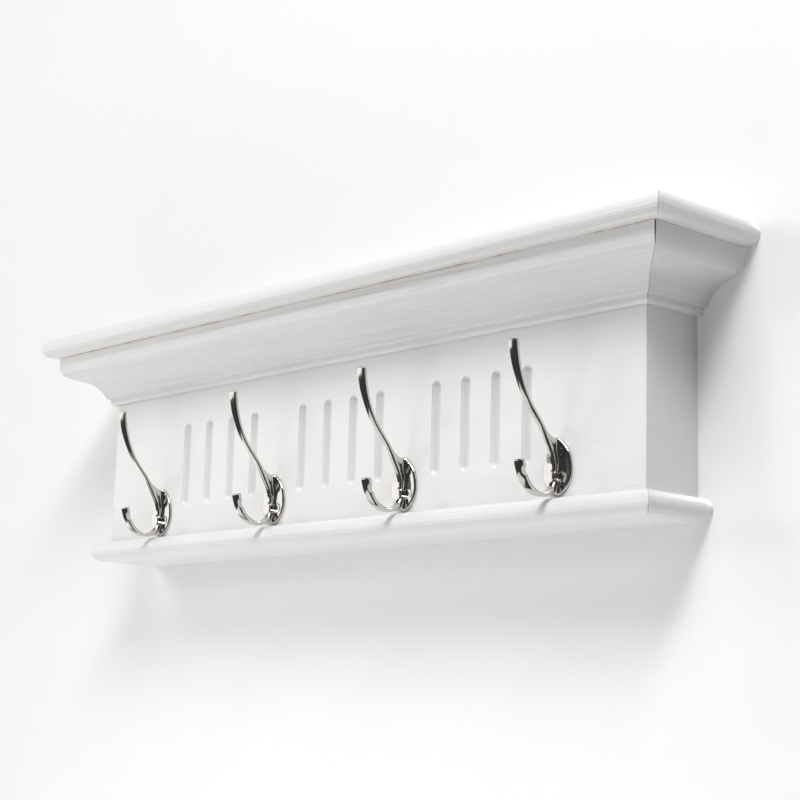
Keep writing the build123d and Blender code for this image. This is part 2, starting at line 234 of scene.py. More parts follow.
def painted_wood(name, grain, shift, figure=1.0, depth=1.0, lines=1.0, hollow=False):
    finish = Finish(name, Specular_IOR_Level=0.42)
    contour = finish.noise(stretched(grain, 1.5, 44.0), 1.0, 0.4, shift, 0.25)
    rings = finish.node("ShaderNodeMath", {"operation": "SINE"}, {0: contour * 62.0})
    arches = finish.ramp(finish.noise(stretched(grain, 3.2, 30.0), 1.0, 0.4, shift + 2.0), 0.5, 0.66)
    figure_lines = finish.ramp(rings, 0.55, 1.0) * arches
    combed = finish.noise(stretched(grain, 0.6, 340.0), 3.0, 0.62, shift + 9.0)
    brush_lines = finish.ramp(combed, 0.36, 0.64)
    streaks = finish.noise(stretched(grain, 14.0, 900.0), 3.0, 0.6, shift + 3.0)
    swirl = finish.noise(stretched(grain, 2.4, 40.0), 2.0, 0.5, shift + 7.0)
    tone = finish.ramp(swirl, 0.3, 0.75)
    # Painted shade: a depth below 1 darkens every paint colour of a piece, and the side pieces take it.
    plain = finish.mix(tone, tinted(PALE_PAINT, depth), tinted(THIN_PAINT, depth))
    brushed = finish.mix(brush_lines * (0.34 * lines), plain, tinted(BRUSHED_PAINT, depth))
    shade = finish.mix(figure_lines * (0.34 * figure), brushed, tinted(FIGURE_PAINT, depth))
    # Painted shade: the paint is greyed inside the flutes by a mask on depth behind the face.
    if hollow:
        behind_front = finish.node("ShaderNodeSeparateXYZ", {}, {"Vector": finish.place}, 1) + FACE
        painted_flute_shade = finish.ramp(behind_front, FLUTE_SHADE_STARTS, FLUTE_SHADE_ENDS)
        shade = finish.mix(painted_flute_shade, shade, tinted(PAINTED_FLUTE_SHADE))
    specks = finish.noise((700.0, 700.0, 700.0), 1.0, 0.5, shift + 11.0)
    speck_mask = finish.ramp(specks, 0.76, 0.80)
    finish.paint("Base Color", finish.mix(speck_mask * 0.35, shade, tinted(DUST)))
    finish.paint("Roughness", 0.34 + streaks * 0.16 + brush_lines * 0.05)
    skin = finish.noise((1100.0, 1100.0, 1100.0), 2.0, 0.5, shift + 5.0)
    comb = brush_lines * (1.5 * lines)
    finish.relief(comb + streaks * 0.4 + figure_lines * (0.9 * figure) + skin * 0.12, 0.24 * MM)
    return finish.material


# The side runs and returns take the same white paint made darker by depth, 0.86 to 0.95, as painted shade.
PAINT = {
    "crown_front": painted_wood("paint_crown_front", "X", 4.1, 1.0, 1.0, 1.0),
    "crown_side": painted_wood("paint_crown_side", "Y", 9.3, 0.5, 0.86, 0.6),
    "board": painted_wood("paint_board", "X", 15.2, 0.2, 1.0, 0.9),
    "board_side": painted_wood("paint_board_side", "Y", 21.7, 0.3, 0.95, 0.6),
    "panel": painted_wood("paint_panel", "X", 27.4, 0.0, 1.0, 0.12, True),
    "upright": painted_wood("paint_upright", "Z", 33.9, 0.2, 0.90, 0.2),
}
print("painted finishes:", sorted(PAINT))


# %% Joint filler
def joint_filler(name):
    """Filler wiped along the joints: cream and tan by turns, with a few dark pinholes."""
    finish = Finish(name, Roughness=0.7)
    turns = finish.ramp(finish.noise((26.0, 26.0, 26.0), 3.0, 0.6, 2.0), 0.42, 0.6)
    holes = finish.ramp(finish.noise((240.0, 240.0, 240.0), 2.0, 0.6, 8.0), 0.70, 0.74)
    body = finish.mix(turns, tinted((0.74, 0.72, 0.69)), tinted((0.47, 0.41, 0.34)))
    finish.paint("Base Color", finish.mix(holes, body, tinted((0.10, 0.09, 0.08))))
    finish.relief(turns * 0.5 - holes, 0.3 * MM)
    return finish.material


JOINT = joint_filler("joint_filler")
print("filler finish:", JOINT.name)

# %% [markdown]
# ## Bare pine at the back
# The rails and cleats behind are unpainted pine. Their growth rings cut the face in long
# bands that wander, so a sine of one stretched noise draws them, with fine pores between.

# %% Bare wood
def bare_wood(name, grain, shift):
    finish = Finish(name, Specular_IOR_Level=0.3)
    wander = finish.noise(stretched(grain, 3.0, 34.0), 2.0, 0.5, shift, 0.3)
    rings = finish.node("ShaderNodeMath", {"operation": "SINE"}, {0: wander * 210.0})
    late = finish.ramp(rings, 0.1, 1.0)
    pores = finish.noise(stretched(grain, 40.0, 2200.0), 3.0, 0.6, shift + 2.0)
    blotch = finish.noise(stretched(grain, 6.0, 18.0), 2.0, 0.5, shift + 5.0)
    pale = finish.mix(blotch, tinted((0.66, 0.53, 0.37)), tinted((0.58, 0.45, 0.30)))
    ringed = finish.mix(late * 0.4, pale, tinted((0.44, 0.29, 0.17)))
    pored = finish.mix(finish.ramp(pores, 0.55, 0.75) * 0.3, ringed, tinted((0.26, 0.16, 0.09)))
    finish.paint("Base Color", pored)
    finish.paint("Roughness", 0.62 + pores * 0.2 - late * 0.1)
    finish.relief(pores * 0.5 + late * 0.5, 0.25 * MM)
    return finish.material


PINE = {"X": bare_wood("pine_rail", "X", 2.6), "Z": bare_wood("pine_block", "Z", 8.8)}
print("bare finishes:", sorted(PINE))

# %% [markdown]
# ## Polished nickel and zinc
# The hooks are cast, polished and nickel-plated: a mirror with a slight ripple, faint rubbing
# marks and a warm tint. The hangers and hidden screws are dull zinc with cloudy patches.

# %% Metals
def nickel(name, roughness, shift):
    finish = Finish(name, Metallic=1.0)
    haze = finish.noise((160.0, 160.0, 90.0), 3.0, 0.55, shift)
    rub = finish.noise((2600.0, 2600.0, 260.0), 2.0, 0.6, shift + 4.0)
    ripple = finish.noise((110.0, 110.0, 80.0), 1.0, 0.4, shift + 8.0)
    pits = finish.ramp(finish.noise((1500.0, 1500.0, 1500.0), 1.0, 0.5, shift + 6.0), 0.74, 0.8)
    tint = finish.mix(haze, tinted((0.64, 0.625, 0.60)), tinted((0.55, 0.535, 0.51)))
    finish.paint("Base Color", finish.mix(pits * 0.5, tint, tinted((0.25, 0.23, 0.21))))
    finish.paint("Roughness", roughness + haze * 0.06 + finish.ramp(rub, 0.6, 0.8) * 0.06)
    finish.relief(ripple + rub * 0.03 - pits * 0.08, 0.22 * MM)
    return finish.material


def zinc(name, shift):
    finish = Finish(name, Metallic=1.0)
    cloud = finish.noise((240.0, 240.0, 240.0), 4.0, 0.6, shift)
    spangle = finish.node("ShaderNodeTexVoronoi", {}, {
        "Vector": finish.place, "Scale": 420.0, "Randomness": 1.0,
    }, "Distance")
    tint = finish.mix(cloud, tinted((0.56, 0.57, 0.59)), tinted((0.40, 0.41, 0.43)))
    spangled = finish.mix(finish.ramp(spangle, 0.1, 0.7) * 0.3, tint, tinted((0.68, 0.69, 0.70)))
    finish.paint("Base Color", spangled)
    finish.paint("Roughness", 0.36 + cloud * 0.25)
    finish.relief(cloud * 0.6 + spangle * 0.4, 0.1 * MM)
    return finish.material


NICKEL = nickel("polished_nickel", 0.09, 1.0)
SCREW_NICKEL = nickel("screw_nickel", 0.14, 6.0)
ZINC = zinc("zinc_plate", 3.0)
print("metal finishes:", [finish.name for finish in (NICKEL, SCREW_NICKEL, ZINC)])


# %% [markdown]
# ## Mouldings as swept sections
# A moulding is one section pushed along a line, with its ends cut at 45 degrees. Every sharp
# corner of the section is eased first, because a planed and painted arris is never sharp,
# and that thin rounded edge is what catches the light.

# %% Section helpers
EASE = 0.7 * MM
EASE_STEPS = 4
HOLD_BACK = 1.18
LEAST_CORNER = math.radians(20)


def eased(outline, ease=EASE):
    """Round each corner of a closed outline, with a holding point on each side of it."""
    points = [Vector(p) for p in outline]
    rounded = []
    for index, corner in enumerate(points):
        before, after = points[index - 1] - corner, points[(index + 1) % len(points)] - corner
        bend = math.pi - before.angle(after)
        if bend < LEAST_CORNER:
            rounded.append(corner)
            continue
        cut = min(ease, 0.42 * before.length, 0.42 * after.length)
        start, end = corner + before.normalized() * cut, corner + after.normalized() * cut
        rounded.append(corner + before.normalized() * cut * HOLD_BACK)
        for step in range(EASE_STEPS + 1):
            t = step / EASE_STEPS
            rounded.append(start * (1 - t) ** 2 + corner * 2 * t * (1 - t) + end * t**2)
        rounded.append(corner + after.normalized() * cut * HOLD_BACK)
    return rounded


def filled_in(outline, spacing=3 * MM):
    """Add points so that no edge of the outline is longer than the spacing."""
    dense = []
    for index, start in enumerate(outline):
        end = outline[(index + 1) % len(outline)]
        count = max(1, math.ceil((end - start).length / spacing))
        dense += [start.lerp(end, step / count) for step in range(count)]
    return dense


def arc(centre, radius, start, end, steps):
    """Points on an arc; the angles are in degrees, from the reach axis towards up."""
    angles = [math.radians(start + (end - start) * step / steps) for step in range(steps + 1)]
    return [(centre[0] + radius * math.cos(a), centre[1] + radius * math.sin(a)) for a in angles]


def inward(outline, amount):
    """The outline offset inwards by a small amount."""
    points = np.array([tuple(p) for p in outline])
    along = np.roll(points, -1, 0) - np.roll(points, 1, 0)
    normal = np.stack([along[:, 1], -along[:, 0]], 1)
    normal /= np.maximum(np.linalg.norm(normal, axis=1, keepdims=True), 1e-12)
    x, y = points[:, 0], points[:, 1]
    area = np.sum(x * np.roll(y, -1) - np.roll(x, -1) * y)
    return points - normal * (amount if area > 0 else -amount)


print("a square with eased corners has", len(eased([(0, 0), (1, 0), (1, 1), (0, 1)])), "points")


# %% A mesh from rings of points
SHARP_CORNER = math.radians(50)


def painted_piece(name, mesh, paint):
    """Link a mesh as a piece of painted timber that rides on the rack."""
    mesh.shade_smooth()
    mesh.set_sharp_from_angle(angle=SHARP_CORNER)
    mesh.materials.append(paint)
    made = bpy.data.objects.new(name, mesh)
    bpy.context.scene.collection.objects.link(made)
    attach(made, "root")
    return made


def piece_from_rings(name, rings, paint):
    """Join rings of equal length into a skin with outward faces, and cap both ends."""
    rings = np.asarray(rings, float)
    count = rings.shape[1]
    faces = []
    last = (len(rings) - 1) * count
    for start in range(0, last, count):
        for i in range(count):
            after = start + (i + 1) % count
            faces.append((start + i, after, after + count, start + i + count))
    faces += [tuple(range(count))[::-1], tuple(range(last, last + count))]
    mesh = bpy.data.meshes.new(name)
    mesh.from_pydata(rings.reshape(-1, 3).tolist(), [], faces)
    skin = bmesh.new()
    skin.from_mesh(mesh)
    bmesh.ops.recalc_face_normals(skin, faces=skin.faces)
    skin.to_mesh(mesh)
    skin.free()
    return painted_piece(name, mesh, paint)


print("corners sharper than", round(math.degrees(SHARP_CORNER)), "degrees stay crisp")


# %% [markdown]
# ## Slightly untrue timber
# Real runs are never dead straight: they waver by a tenth of a millimetre, and a mitre that
# has shrunk opens more at one end than the other.

# %% Waver and mitre gaps
WAVER = 0.09 * MM
WAVER_PITCHES = (0.31, 0.17, 0.083, 0.041)
FULL_TURN = 6.28


def waver(distance, height, seed, amount=WAVER):
    """A small smooth error along a run, different at each height."""
    dice = np.random.default_rng(seed)
    total = np.zeros(np.broadcast(distance, height).shape)
    for pitch in WAVER_PITCHES:
        phase, tilt = dice.uniform(0, FULL_TURN), dice.uniform(-60, 60)
        total = total + pitch * np.sin(distance * FULL_TURN / pitch + phase + tilt * height)
    return amount * total / WAVER_PITCHES[0]


def gap_at(height, gaps):
    """The mitre gap at a height, from a few (height, gap) pairs in mm."""
    heights, widths = zip(*gaps)
    return np.interp(np.asarray(height) / MM, heights, widths) * MM


TIGHT = ((0.0, 0.12), (230.0, 0.12))
print("a tight mitre still shows", gap_at(0.1, TIGHT) / MM, "mm")


# %% A run of moulding on one side of the box
RING_SPACING = 14 * MM
END_ARRIS = 0.35 * MM


def run_rings(section, side, gaps, seed):
    """Rings of a moulding along the front, or along a side back to the wall."""
    shape = np.array([tuple(p) for p in section])
    small = inward(section, END_ARRIS)
    length = 2 * (HALF + SHELF_REACH) if side == "front" else FACE + SHELF_REACH
    count = round(length / RING_SPACING)
    stops = [(0.0, 0.0, small), (0.0, END_ARRIS, shape)]
    stops += [(step / count, 0.0, shape) for step in range(1, count)]
    stops += [(1.0, END_ARRIS, shape), (1.0, 0.0, small)]
    rings = []
    for share, back, outline in stops:
        reach, height = outline[:, 0], outline[:, 1]
        gap = gap_at(height, gaps)
        if side == "front":
            start, end = -(HALF + reach) + gap, HALF + reach - gap
        else:
            start, end = -(FACE + reach) + gap, np.zeros_like(reach)
        inset = back if share < 0.5 else -back
        along = start + (end - start) * share + inset
        reach = reach + waver(along, height, seed)
        if side == "front":
            places = (along, -(FACE + reach), BASE + height)
        else:
            places = ((HALF + reach) * (1 if side == "right" else -1), along, BASE + height)
        rings.append(np.stack(np.broadcast_arrays(*places), 1))
    return rings


def moulding(stem, section, front_gaps, front_paint, side_paint, seed):
    """The front run and two returns of one moulding, each replacing its own node."""
    section = filled_in(eased(section))
    for offset, side in enumerate(("front", "right", "left")):
        gaps, paint = (front_gaps, front_paint) if side == "front" else (TIGHT, side_paint)
        rings = run_rings(section, side, gaps, seed + offset)
        made = piece_from_rings(f"painted_{stem}_{side}", rings, PAINT[paint])
        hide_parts(f"{stem}_{side}")
    print(stem, "section points:", len(section))


# %% [markdown]
# ## The nosings
# The shelf and the bottom board are both finished with a half-round nosing, glued on and
# mitred at the corners. The radius is half the board's thickness.

# %% Half-round nosings
def nosing_section(reach, bottom):
    radius = BOARD / 2
    centre = (reach - radius, bottom + radius)
    return arc(centre, radius, -90, 90, 28)


SHELF_MITRE = ((208, 0.1), (214, 0.45), (222, 0.35), (227, 0.1))
SILL_MITRE = ((0, 0.1), (4, 0.35), (10, 0.15), (19, 0.05))
shelf_nosing = nosing_section(SHELF_REACH + BOARD / 2, SHELF_UNDER)
sill_nosing = nosing_section(SILL_REACH + BOARD / 2, 0.0)
moulding("top_nosing", shelf_nosing, SHELF_MITRE, "board", "board_side", 11)
moulding("bottom_nosing", sill_nosing, SILL_MITRE, "board", "board_side", 21)


# %% [markdown]
# ## The crown moulding
# From the top: a fillet under the shelf, an ovolo, a long slope, a cove and a rounded strip.
# The back is hollow, as a sprung moulding is, and only its edges touch the box and shelf.

# %% Crown section
OVOLO_RADIUS = 11.0 * MM
OVOLO_TURN = 72
CROWN_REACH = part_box("crown_front")[1].x - HALF
OVOLO_TOP = SHELF_UNDER - 10.5 * MM
OVOLO_FOOT_REACH = CROWN_REACH - OVOLO_RADIUS * (1 - math.cos(math.radians(OVOLO_TURN)))
OVOLO_FOOT = OVOLO_TOP - OVOLO_RADIUS * math.sin(math.radians(OVOLO_TURN))
STRIP_REACH, STRIP_TOP, STRIP_BOTTOM = 6.4 * MM, 166.4 * MM, 160.0 * MM
TOE_RADIUS = 3.0 * MM
COVE_TOP = (22.0 * MM, 181.8 * MM)
COVE_MIDDLE = (14.8 * MM, 175.6 * MM)
COVE_FOOT = (9.6 * MM, STRIP_TOP)
BACK_FOOT = (0.0, 172.0 * MM)
BACK_TOP = (33.0 * MM, SHELF_UNDER)


def three_point_arc(start, middle, end, steps):
    """Points on the circle through three points, worked out with complex numbers."""
    a, b, c = (complex(*point) for point in (start, middle, end))
    ratio = (c - a) / (b - a)
    centre = a + (b - a) * (ratio - abs(ratio) ** 2) / (2j * ratio.imag)
    first, last = (math.degrees(cmath.phase(point - centre)) for point in (a, c))
    turn_by = (last - first + 180) % 360 - 180
    return arc((centre.real, centre.imag), abs(a - centre), first, first + turn_by, steps)


def crown_section():
    ovolo = arc((CROWN_REACH - OVOLO_RADIUS, OVOLO_TOP), OVOLO_RADIUS, 0, -OVOLO_TURN, 12)
    cove = three_point_arc(COVE_TOP, COVE_MIDDLE, COVE_FOOT, 12)
    toe = arc((STRIP_REACH - TOE_RADIUS, STRIP_BOTTOM + TOE_RADIUS), TOE_RADIUS, 0, -90, 6)
    return [
        (CROWN_REACH, SHELF_UNDER), *ovolo, *cove, (STRIP_REACH, STRIP_TOP), *toe,
        (0.0, STRIP_BOTTOM), BACK_FOOT, BACK_TOP,
    ]


CROWN_MITRE = ((160, 0.35), (166, 0.5), (170, 0.05), (190, 0.05), (193, 0.7), (203, 1.1), (208, 0.7))
moulding("crown", crown_section(), CROWN_MITRE, "crown_front", "crown_side", 31)


# %% [markdown]
# ## The boards
# Each board is a flat slab with eased edges. Its nosings hide three of its edges, but the
# joint beneath them shows as a fine groove.

# %% Flat boards
BOARD_ARRIS = 0.4 * MM


def board_piece(name, reach, bottom):
    width, depth, top = HALF + reach, FACE + reach, bottom + BOARD
    outline = eased([(0.0, bottom), (depth, bottom), (depth, top), (0.0, top)], 0.5 * MM)
    outline = filled_in(outline, 12 * MM)
    shape, small = np.array([tuple(p) for p in outline]), inward(outline, BOARD_ARRIS)
    stops = [(-width, small), (-width + BOARD_ARRIS, shape)]
    stops += [(x, shape) for x in np.linspace(-width, width, 60)[1:-1]]
    stops += [(width - BOARD_ARRIS, shape), (width, small)]
    rings = [np.stack([np.full(len(o), x), -o[:, 0], BASE + o[:, 1]], 1) for x, o in stops]
    made = piece_from_rings(f"painted_{name}", rings, PAINT["board"])
    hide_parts(name)
    print(name, "points:", len(made.data.vertices))


board_piece("top_board", SHELF_REACH, SHELF_UNDER)
board_piece("bottom_board", SILL_REACH, 0.0)


# %% [markdown]
# ## The side returns
# Each return is an upright board, mitred to the front panel. It is swept up the plan shape.

# %% Side returns
def side_return(side, hand):
    inner = HALF - BOARD
    plan = eased([(HALF, 0.0), (HALF, -FACE), (inner, -FACE + BOARD), (inner, 0.0)], 0.6 * MM)
    shape = np.array([tuple(p) for p in filled_in(plan, 6 * MM)])
    levels = np.linspace(BOARD, SHELF_UNDER, 24)
    rings = [np.stack([shape[:, 0] * side, shape[:, 1], np.full(len(shape), BASE + z)], 1) for z in levels]
    made = piece_from_rings(f"painted_return_{hand}", rings, PAINT["upright"])
    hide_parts(f"side_return_{hand}")


for side, hand in ((-1, "left"), (1, "right")):
    side_return(side, hand)
print("side returns stand", round((SHELF_UNDER - BOARD) / MM, 1), "mm tall")

# %% [markdown]
# ## The fluted panel
# Twelve flutes in three groups are ploughed with a round-nosed cutter. Each flute is a nest of
# stadium-shaped rings that step down into the wood, and its lip is eased where the paint
# has rounded it. The flat face is then filled in around the twelve lips.

# %% Flutes and panel face
BAY = 2 * HALF / 4
FLUTE_PITCH = 34.6 * MM
FLUTE_CENTRE = 89.0 * MM
FLUTE_LENGTH = 79.4 * MM
CUTTER = 5.5 * MM
FLUTE_DEPTH = 4.2 * MM
LIP = 0.45 * MM
FLUTE_TRACE = math.sqrt(CUTTER**2 - (CUTTER - FLUTE_DEPTH) ** 2)
END_STEPS, SIDE_STEPS = 14, 8
PANEL_INSETS = [inset * MM for inset in (1.2, 0.7, 0.42, 0.2, 0.06, 0.0)]
PANEL_DROPS = [drop * MM for drop in (0.0, 0.0, 0.06, 0.2, 0.42, 0.7)]


def flute_profile():
    """(distance from the flute's axis, depth) from the flat outside the lip to its bottom."""
    profile = [(FLUTE_TRACE + 1.35 * LIP, 0.0), (FLUTE_TRACE + LIP, 0.0)]
    lip_end = FLUTE_TRACE - 0.10 * MM
    lip_depth = math.sqrt(CUTTER**2 - lip_end**2) - (CUTTER - FLUTE_DEPTH)
    for t in (0.25, 0.5, 0.75, 1.0):
        across = (FLUTE_TRACE + LIP) * (1 - t) ** 2 + FLUTE_TRACE * 2 * t * (1 - t) + lip_end * t**2
        profile.append((across, lip_depth * t**2))
    for share in (0.93, 0.85, 0.75, 0.62, 0.48, 0.34, 0.2, 0.08):
        across = lip_end * share
        profile.append((across, math.sqrt(CUTTER**2 - across**2) - (CUTTER - FLUTE_DEPTH)))
    return profile


def stadium(x, across):
    """A ring about one flute's axis at a distance across from it."""
    travel = FLUTE_LENGTH / 2 - FLUTE_TRACE
    ring = []
    for middle, first in ((travel, 0), (-travel, 180)):
        ring += arc((x, FLUTE_CENTRE + middle), across, first, first + 180, END_STEPS)
        end_x, end_z = ring[-1]
        ring += [(end_x, end_z - 2 * middle * step / SIDE_STEPS) for step in range(1, SIDE_STEPS)]
    return ring


def panel_mesh():
    skin = bmesh.new()
    profile = flute_profile()
    lips = []
    for group in (-BAY, 0.0, BAY):
        for index in range(4):
            x = group + (index - 1.5) * FLUTE_PITCH
            rings = []
            for across, depth in profile:
                spots = stadium(x, across)
                rings.append([skin.verts.new((px, -FACE + depth, BASE + pz)) for px, pz in spots])
            for outer, inner in zip(rings, rings[1:]):
                for i in range(len(outer)):
                    j = (i + 1) % len(outer)
                    skin.faces.new((outer[i], outer[j], inner[j], inner[i]))
            skin.faces.new(rings[-1])
            lips.append(rings[0])
    loops = []
    for inset, drop in zip([*PANEL_INSETS, BOARD], [*PANEL_DROPS, BOARD]):
        half, y, bottom, top = HALF - inset, -FACE + drop, BASE + BOARD, BASE + SHELF_UNDER
        border = ((-half, y, bottom), (half, y, bottom), (half, y, top), (-half, y, top))
        loops.append([skin.verts.new(corner) for corner in border])
    for outer, inner_loop in zip(loops, loops[1:]):
        for i in range(4):
            j = (i + 1) % 4
            skin.faces.new((outer[i], outer[j], inner_loop[j], inner_loop[i]))
    skin.faces.new(loops[-1])
    rim = []
    for loop in [loops[0], *lips]:
        for i, vertex in enumerate(loop):
            after = loop[(i + 1) % len(loop)]
            rim.append(skin.edges.get((vertex, after)) or skin.edges.new((vertex, after)))
    bmesh.ops.triangle_fill(skin, use_beauty=True, use_dissolve=False, edges=rim, normal=(0, -1, 0))
    bmesh.ops.recalc_face_normals(skin, faces=skin.faces)
    mesh = bpy.data.meshes.new("painted_panel")
    skin.to_mesh(mesh)
    skin.free()
    return mesh


painted_panel = painted_piece("painted_panel", panel_mesh(), PAINT["panel"])
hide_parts("front_panel")
print("panel faces:", len(painted_panel.data.polygons))


# %% [markdown]
# ## Beads of filler and paint
# Before painting, a thin bead of filler is wiped along each joint. It is uneven: it swells,
# thins and breaks off. Paint gathers in the same way along the crown's arrises, so one
# function makes both: a thin tube whose radius and line wander by a seeded sum of waves.

# %% Wiped beads
BEAD_STEP = 2.2 * MM
BEAD_SIDES = 7
BEAD_WANDER = 0.18 * MM
BEAD_FLATNESS = 0.8
BEAD_END = 2 * MM
BEAD_PITCHES = (0.11, 0.047, 0.021, 0.0092)


def bead(name, side, reach, height, size, seed, finish):
    """A wiped bead along one side of the box; size is its mean radius."""
    dice = np.random.default_rng(seed)
    start, end = -(HALF + reach) + BEAD_END, HALF + reach - BEAD_END
    if side != "front":
        start, end = -FACE + BEAD_END, -BEAD_END
    count = int((end - start) / BEAD_STEP)
    along = np.linspace(start, end, count)
    swell = np.zeros(count)
    for pitch in BEAD_PITCHES:
        swell += np.sin(along * FULL_TURN / pitch + dice.uniform(0, FULL_TURN)) * dice.uniform(0.5, 1.0)
    swell = size * np.clip(0.62 + 0.26 * swell + dice.normal(0, 0.10, count), 0.10, 1.5)
    swell[[0, -1]] = size * 0.1
    wander = waver(along, 0.0, seed + 1, BEAD_WANDER)
    rings = []
    for place, radius, shift in zip(along, swell, wander):
        ring = []
        for step in range(BEAD_SIDES):
            angle = 2 * math.pi * step / BEAD_SIDES
            out = reach + shift + radius * math.cos(angle)
            up = BASE + height + radius * BEAD_FLATNESS * math.sin(angle)
            across = (HALF + out) * (1 if side == "right" else -1)
            ring.append((place, -(FACE + out), up) if side == "front" else (across, place, up))
        rings.append(ring)
    return piece_from_rings(name, rings, finish)


TOE_BEAD = STRIP_BOTTOM - 0.2 * MM
bead("filler_crown_toe_front", "front", 0.0, TOE_BEAD, 0.7 * MM, 51, PAINT["board"])
bead("filler_crown_toe_right", "right", 0.0, STRIP_BOTTOM, 0.4 * MM, 52, PAINT["board"])
bead("filler_crown_toe_left", "left", 0.0, STRIP_BOTTOM, 0.4 * MM, 53, PAINT["board"])
bead("filler_shelf_front", "front", CROWN_REACH, SHELF_UNDER, 0.8 * MM, 54, JOINT)
bead("paint_ridge_strip", "front", STRIP_REACH, STRIP_TOP, 0.5 * MM, 55, PAINT["board"])
bead("paint_ridge_ovolo", "front", OVOLO_FOOT_REACH, OVOLO_FOOT, 0.5 * MM, 56, PAINT["board"])
print("beads of filler and paint: 6")


# %% [markdown]
# ## A cast double hook
# A casting has no sharp inside corners: the arms flow into the plate. That is a job for a
# distance field: plate, arms and web are each a distance, and a soft minimum of them leaves
# the flowing fillets. The skin is then drawn over the field and pulled exactly onto it,
# and the field's slope gives normals smooth enough for a mirror finish.

# %% Centre lines of the arms
def smooth_line(points, count):
    """A natural cubic spline through the points, as evenly spaced samples."""
    points = np.array(points, float)
    chord = np.concatenate([[0], np.cumsum(np.linalg.norm(np.diff(points, axis=0), axis=1))])
    n = len(points)
    h = np.diff(chord)
    system, right = np.eye(n), np.zeros((n, 2))
    for i in range(1, n - 1):
        system[i, i - 1], system[i, i], system[i, i + 1] = h[i - 1], 2 * (h[i - 1] + h[i]), h[i]
        right[i] = 6 * ((points[i + 1] - points[i]) / h[i] - (points[i] - points[i - 1]) / h[i - 1])
    bend = np.linalg.solve(system, right)

    def at(t):
        i = np.clip(np.searchsorted(chord, t, side="right") - 1, 0, n - 2)
        a, b = (chord[i + 1] - t)[:, None], (t - chord[i])[:, None]
        step = h[i][:, None]
        return (bend[i] * a**3 + bend[i + 1] * b**3) / (6 * step) + (
            points[i] / step - bend[i] * step / 6) * a + (points[i + 1] / step - bend[i + 1] * step / 6) * b

    fine = at(np.linspace(0, chord[-1], 1200))
    length = np.concatenate([[0], np.cumsum(np.linalg.norm(np.diff(fine, axis=0), axis=1))])
    even = np.linspace(0, length[-1], count)
    return np.stack([np.interp(even, length, fine[:, k]) for k in (0, 1)], 1), even


# Routes, plate and web outlines are in mm: out from the panel, or across, and then up.
UPPER_ROUTE = [(5.2, -4), (5.6, 4), (11.4, 16), (22.6, 32.6), (36.4, 48), (45.6, 64), (51, 80), (53.2, 93.6)]
LOWER_ROUTE = [(5.2, -4), (6.2, -13), (13, -21), (22.4, -23), (32.2, -19.8), (40.2, -11.6), (44.6, 1.6)]
# Each section: its share of the arm's length, the width across and the thickness.
UPPER_SECTIONS = [
    (0, 5.6, 5), (0.2, 5.6, 4.4), (0.45, 5.4, 3.3), (0.7, 6.6, 3.4), (0.9, 8.8, 3.9), (1, 9, 3.9),
]
LOWER_SECTIONS = [
    (0, 5.6, 5), (0.2, 6.4, 3.8), (0.45, 7, 3.6), (0.7, 8, 4.2), (0.9, 9.4, 5), (1, 9.6, 5),
]
PLATE_SIDE = [(6.4, 19.4), (11.4, 12.8), (14.2, 4), (14.8, -3), (13.2, -11), (7.8, -18.4)]
PLATE_ENDS = (23.3, -22.2)
PLATE_THICK = 3.0
SCREW_SPOTS = [(-6.8, 7.8), (6.8, -7.8)]
WEB = [(22.4, 32.6), (17.4, 25.4), (12.4, 17.6), (8, 9), (2, 2), (2, 22.3), (8.6, 23), (14.6, 26.8)]
HEEL = [(5.4, -8), (9.5, -17.5), (15, -21.4), (20, -23.2), (12, -22.9), (2, -20.9), (2, -8)]


ARM_CORNER, ARM_CROWN, TIP_ROUND = 0.60, 0.16, 1.5
PLATE_CORNER, PLATE_FALL, PLATE_CROWN, DISH = 1.3, 0.095, 0.6, 0.20
WEB_CORNER, WEB_HALF, HEEL_HALF = 1.2, 1.7, 2.0
ARM_BLEND, WEB_BLEND, PLATE_BLEND = 1.5, 1.6, 3.0
SEAT_RADIUS = 4.4
PART_SIZE = 40000


def rounded_meeting(a, b, corner):
    """Where two distances meet, such as a side and an end, with the edge between them rounded."""
    a, b = a + corner, b + corner
    return np.hypot(np.maximum(a, 0), np.maximum(b, 0)) + np.minimum(np.maximum(a, b), 0) - corner


class Arm:
    """One arm of the hook: its centre line, and its width and thickness along it, in mm."""

    def __init__(self, route, sections):
        self.line, self.length = smooth_line(route, 220)
        self.along = np.gradient(self.line, self.length, axis=0)
        self.along /= np.linalg.norm(self.along, axis=1, keepdims=True)
        share, width, thick = np.array(sections, float).T
        spread = np.ones(31) / 31

        def eased_values(values):
            raw = np.interp(self.length / self.length[-1], share, values)
            return np.convolve(np.pad(raw, 15, mode="edge"), spread, mode="valid")

        self.half_width, self.half_thick = eased_values(width) / 2, eased_values(thick) / 2

    def local(self, out, up):
        """Distance off the centre line, half sizes there, and the overruns past tip and root."""
        nearest = np.zeros(out.shape, int)
        for part in np.array_split(np.arange(out.size), max(1, out.size // PART_SIZE)):
            gap_out = out.flat[part][:, None] - self.line[:, 0]
            gap_up = up.flat[part][:, None] - self.line[:, 1]
            nearest.flat[part] = (gap_out**2 + gap_up**2).argmin(1)
        step_out, step_up = out - self.line[nearest, 0], up - self.line[nearest, 1]
        tangent = self.along[nearest]
        forward = step_out * tangent[..., 0] + step_up * tangent[..., 1]
        off = -step_out * tangent[..., 1] + step_up * tangent[..., 0]
        place = self.length[nearest] + forward
        width = np.interp(place, self.length, self.half_width)
        thick = np.interp(place, self.length, self.half_thick)
        return off, width, thick, place - self.length[-1], -place

    def distance(self, across, local):
        off, width, thick, past_tip, before_start = local
        corner = thick * ARM_CORNER
        crown = 1 - ARM_CROWN * np.clip(across / width, -1, 1) ** 2
        qx = np.abs(across) - width + corner
        qn = np.abs(off) - thick * crown + corner
        side = rounded_meeting(qx - corner, qn - corner, corner)
        end = np.maximum(past_tip, before_start)
        return rounded_meeting(side, end, TIP_ROUND)


